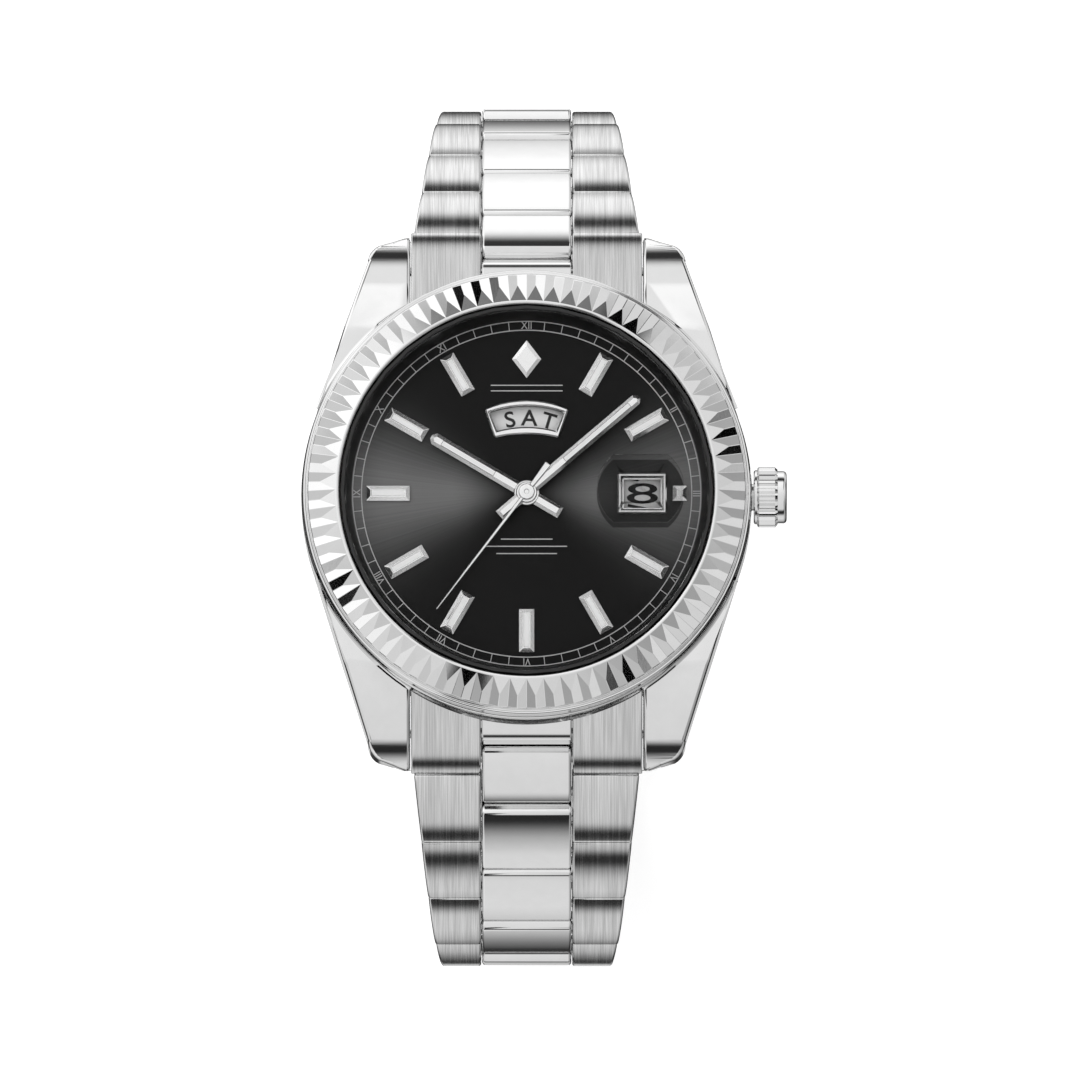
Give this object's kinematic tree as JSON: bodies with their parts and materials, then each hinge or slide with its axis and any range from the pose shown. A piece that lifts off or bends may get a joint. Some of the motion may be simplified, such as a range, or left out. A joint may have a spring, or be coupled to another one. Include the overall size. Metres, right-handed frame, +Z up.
{
  "type": "wristwatch",
  "caption": "Steel wristwatch with a fluted bezel, black day and date dial, magnified date, and a three-piece link bracelet on a folding clasp.",
  "frame": {"origin": "on the flat underside of the clasp cover, straight below the centre of the dial", "axes": "+Z up out of the dial, +Y towards 12 o'clock, +X towards the crown at 3 o'clock"},
  "size_m": [0.0433, 0.0785, 0.0544],
  "materials": {
    "brushed_steel": "satin brushed, polished on the centre links",
    "polished_steel": "mirror polished stainless steel",
    "inner_steel": "fine turned steel",
    "crystal_glass": "clear polished mineral glass",
    "dial_black": "black sunray lacquer",
    "disc_white": "matte white print",
    "gasket_rubber": "matte",
    "brass": "plated and grained",
    "holder_plastic": "moulded",
    "circuit_board": "lacquered board",
    "copper_wire": "enamelled copper winding"
  },
  "bodies": {
    "head": {"case_body": "brushed_steel", "bezel": "polished_steel", "case_back": "polished_steel", "case_back_gasket": "gasket_rubber", "crystal": "crystal_glass", "crystal_gasket": "gasket_rubber", "cyclops_lens": "crystal_glass", "flange_ring": "dial_black", "dial": "dial_black", "day_frame": "polished_steel", "date_frame": "polished_steel", "movement_holder": "holder_plastic", "movement_plate": "brass", "battery": "inner_steel", "battery_clamp": "inner_steel", "coil": "copper_wire", "circuit_board": "circuit_board", "train_bridge": "inner_steel", "crown_tube": "inner_steel", "end_link_12": "brushed_steel", "end_link_6": "brushed_steel", "spring_bar_12": "inner_steel", "spring_bar_6": "inner_steel"},
    "hour": {"hour_hand": "polished_steel"},
    "minute": {"minute_hand": "polished_steel"},
    "second": {"second_hand": "polished_steel", "fourth_wheel": "brass"},
    "day": {"day_disc": "disc_white"},
    "date": {"date_disc": "disc_white"},
    "third": {"third_wheel": "brass"},
    "rotor": {"step_rotor": "inner_steel"},
    "crown_pull": {"setting_clip": "inner_steel"},
    "crown_turn": {"crown": "polished_steel", "winding_stem": "inner_steel", "crown_gasket": "gasket_rubber", "clutch_wheel": "inner_steel"},
    "row_12_1": {"link_row_12_1": "brushed_steel"},
    "row_12_2": {"link_row_12_2": "brushed_steel"},
    "row_12_3": {"link_row_12_3": "brushed_steel"},
    "row_12_4": {"link_row_12_4": "brushed_steel"},
    "row_12_5": {"link_row_12_5": "brushed_steel"},
    "row_12_6": {"link_row_12_6": "brushed_steel"},
    "row_12_7": {"link_row_12_7": "brushed_steel"},
    "row_12_8": {"link_row_12_8": "brushed_steel"},
    "row_6_1": {"link_row_6_1": "brushed_steel"},
    "row_6_2": {"link_row_6_2": "brushed_steel"},
    "row_6_3": {"link_row_6_3": "brushed_steel"},
    "row_6_4": {"link_row_6_4": "brushed_steel"},
    "row_6_5": {"link_row_6_5": "brushed_steel"},
    "row_6_6": {"link_row_6_6": "brushed_steel"},
    "row_6_7": {"link_row_6_7": "brushed_steel"},
    "row_6_8": {"link_row_6_8": "brushed_steel"},
    "blade_inner": {"fold_blade_inner": "inner_steel"},
    "blade_outer": {"fold_blade_outer": "inner_steel", "fold_pin": "inner_steel"},
    "cover": {"clasp_cover": "polished_steel", "cover_pin": "inner_steel", "clasp_spring_bar": "inner_steel"},
    "button_right": {"clasp_button_right": "polished_steel"},
    "button_left": {"clasp_button_left": "polished_steel"}
  },
  "joints": [
    {"name": "second_turn", "type": "hinge", "parent": "head", "child": "second", "pos_m": [0, 0, 0.05055], "axis": [0, 0, -1], "continuous": true},
    {"name": "minute_turn", "type": "hinge", "parent": "head", "child": "minute", "pos_m": [0, 0, 0.05055], "axis": [0, 0, -1], "continuous": true},
    {"name": "hour_turn", "type": "hinge", "parent": "head", "child": "hour", "pos_m": [0, 0, 0.05055], "axis": [0, 0, -1], "continuous": true},
    {"name": "third_wheel_turn", "type": "hinge", "parent": "head", "child": "third", "pos_m": [0.0044, -0.0022, 0.04615], "axis": [0, 0, -1], "continuous": true},
    {"name": "rotor_turn", "type": "hinge", "parent": "head", "child": "rotor", "pos_m": [0.0056, 0.0062, 0.04645], "axis": [0, 0, -1], "continuous": true},
    {"name": "day_turn", "type": "hinge", "parent": "head", "child": "day", "pos_m": [0, 0, 0.04975], "axis": [0, 0, 1], "continuous": true},
    {"name": "date_turn", "type": "hinge", "parent": "head", "child": "date", "pos_m": [0, 0, 0.04975], "axis": [0, 0, 1], "continuous": true},
    {"name": "crown_pull", "type": "slide", "parent": "head", "child": "crown_pull", "axis": [1, 0, 0], "range_m": [0, 0.0012]},
    {"name": "crown_turn", "type": "hinge", "parent": "crown_pull", "child": "crown_turn", "pos_m": [0.0215, 0, 0.04815], "axis": [1, 0, 0], "continuous": true},
    {"name": "row_12_1_hinge", "type": "hinge", "parent": "head", "child": "row_12_1", "pos_m": [0, 0.0229, 0.04415], "axis": [1, 0, 0], "range_deg": [0, 21]},
    {"name": "row_12_2_hinge", "type": "hinge", "parent": "row_12_1", "child": "row_12_2", "pos_m": [0, 0.027, 0.03991], "axis": [1, 0, 0], "range_deg": [0, 9]},
    {"name": "row_12_3_hinge", "type": "hinge", "parent": "row_12_2", "child": "row_12_3", "pos_m": [0, 0.03137, 0.03432], "axis": [1, 0, 0], "range_deg": [0, 8]},
    {"name": "row_12_4_hinge", "type": "hinge", "parent": "row_12_3", "child": "row_12_4", "pos_m": [0, 0.03524, 0.02836], "axis": [1, 0, 0], "range_deg": [0, 16.2]},
    {"name": "row_12_5_hinge", "type": "hinge", "parent": "row_12_4", "child": "row_12_5", "pos_m": [0, 0.03764, 0.02168], "axis": [1, 0, 0], "range_deg": [0, 29.2]},
    {"name": "row_12_6_hinge", "type": "hinge", "parent": "row_12_5", "child": "row_12_6", "pos_m": [0, 0.03685, 0.01463], "axis": [1, 0, 0], "range_deg": [0, 26.6]},
    {"name": "row_12_7_hinge", "type": "hinge", "parent": "row_12_6", "child": "row_12_7", "pos_m": [0, 0.0333, 0.00848], "axis": [1, 0, 0], "range_deg": [0, 25]},
    {"name": "row_12_8_hinge", "type": "hinge", "parent": "row_12_7", "child": "row_12_8", "pos_m": [0, 0.02771, 0.00411], "axis": [1, 0, 0], "range_deg": [0, 21]},
    {"name": "row_6_1_hinge", "type": "hinge", "parent": "head", "child": "row_6_1", "pos_m": [0, -0.0229, 0.04415], "axis": [-1, 0, 0], "range_deg": [0, 4]},
    {"name": "row_6_2_hinge", "type": "hinge", "parent": "row_6_1", "child": "row_6_2", "pos_m": [0, -0.02806, 0.04129], "axis": [-1, 0, 0], "range_deg": [0, 25]},
    {"name": "row_6_3_hinge", "type": "hinge", "parent": "row_6_2", "child": "row_6_3", "pos_m": [0, -0.03253, 0.03578], "axis": [-1, 0, 0], "range_deg": [0, 12]},
    {"name": "row_6_4_hinge", "type": "hinge", "parent": "row_6_3", "child": "row_6_4", "pos_m": [0, -0.03608, 0.02963], "axis": [-1, 0, 0], "range_deg": [0, 21.2]},
    {"name": "row_6_5_hinge", "type": "hinge", "parent": "row_6_4", "child": "row_6_5", "pos_m": [0, -0.03753, 0.02268], "axis": [-1, 0, 0], "range_deg": [0, 25.1]},
    {"name": "row_6_6_hinge", "type": "hinge", "parent": "row_6_5", "child": "row_6_6", "pos_m": [0, -0.03626, 0.01569], "axis": [-1, 0, 0], "range_deg": [0, 23.5]},
    {"name": "row_6_7_hinge", "type": "hinge", "parent": "row_6_6", "child": "row_6_7", "pos_m": [0, -0.03263, 0.00959], "axis": [-1, 0, 0], "range_deg": [0, 24]},
    {"name": "row_6_8_hinge", "type": "hinge", "parent": "row_6_7", "child": "row_6_8", "pos_m": [0, -0.02705, 0.0052], "axis": [-1, 0, 0], "range_deg": [0, 21.2]},
    {"name": "clasp_hinge", "type": "hinge", "parent": "row_6_8", "child": "blade_inner", "pos_m": [0, -0.02037, 0.00277], "axis": [-1, 0, 0], "range_deg": [0, 23]},
    {"name": "fold_open", "type": "hinge", "parent": "blade_inner", "child": "blade_outer", "pos_m": [0, 0.0165, 0.00317], "axis": [1, 0, 0], "range_deg": [0, 135]},
    {"name": "cover_open", "type": "hinge", "parent": "blade_outer", "child": "cover", "pos_m": [0, -0.0156, 0.00259], "axis": [-1, 0, 0], "range_deg": [0, 135]},
    {"name": "button_right_press", "type": "slide", "parent": "cover", "child": "button_right", "axis": [-1, 0, 0], "range_m": [0, 0.0005], "stiffness_N_per_m": 200, "springref_m": -0.0015},
    {"name": "button_left_press", "type": "slide", "parent": "cover", "child": "button_left", "axis": [1, 0, 0], "range_m": [0, 0.0005], "stiffness_N_per_m": 200, "springref_m": -0.0015}
  ],
  "couplings": [
    {"joint": "minute_turn", "follows": "second_turn", "ratio": 0.016667},
    {"joint": "hour_turn", "follows": "second_turn", "ratio": 0.0013889},
    {"joint": "third_wheel_turn", "follows": "second_turn", "ratio": -0.13333},
    {"joint": "rotor_turn", "follows": "second_turn", "ratio": 30},
    {"joint": "cover_open", "follows": "fold_open", "ratio": 1}
  ]
}
